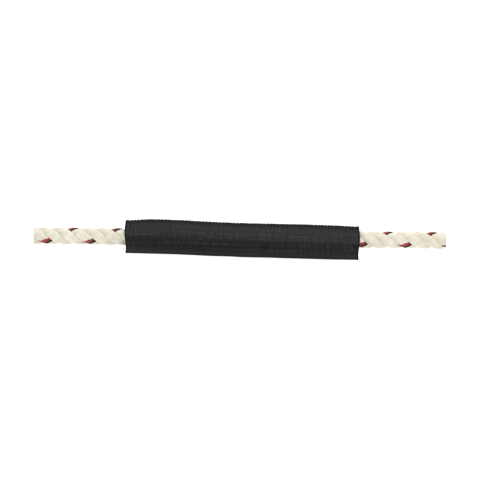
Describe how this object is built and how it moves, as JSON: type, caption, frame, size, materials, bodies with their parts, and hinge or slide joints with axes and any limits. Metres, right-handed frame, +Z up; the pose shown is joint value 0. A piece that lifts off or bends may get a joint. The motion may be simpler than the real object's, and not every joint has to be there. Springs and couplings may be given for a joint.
{
  "type": "rope protector sleeve",
  "caption": "Open-ended tube of black woven textile that slides on a laid rope and guards it from rubbing on edges.",
  "frame": {"origin": "on the surface that the sleeve lies on, under the middle of the sleeve", "axes": "+X along the rope, +Z up from the surface, +Y across the sleeve's width"},
  "size_m": [0.386, 0.0322, 0.0205],
  "materials": {
    "sleeve_weave": "matt black woven filament yarn, ribbed crosswise, with melted rims at the two cuts",
    "rope_yarn": "cream three-strand laid rope with a red and a black tracer yarn side by side in one strand"
  },
  "bodies": {
    "rope": {"rope": "rope_yarn"},
    "sleeve": {"sleeve_tube": "sleeve_weave"}
  },
  "joints": [
    {"name": "sleeve_slide", "type": "slide", "parent": "rope", "child": "sleeve", "axis": [1, 0, 0], "range_m": [-0.0859, 0.0815]}
  ]
}
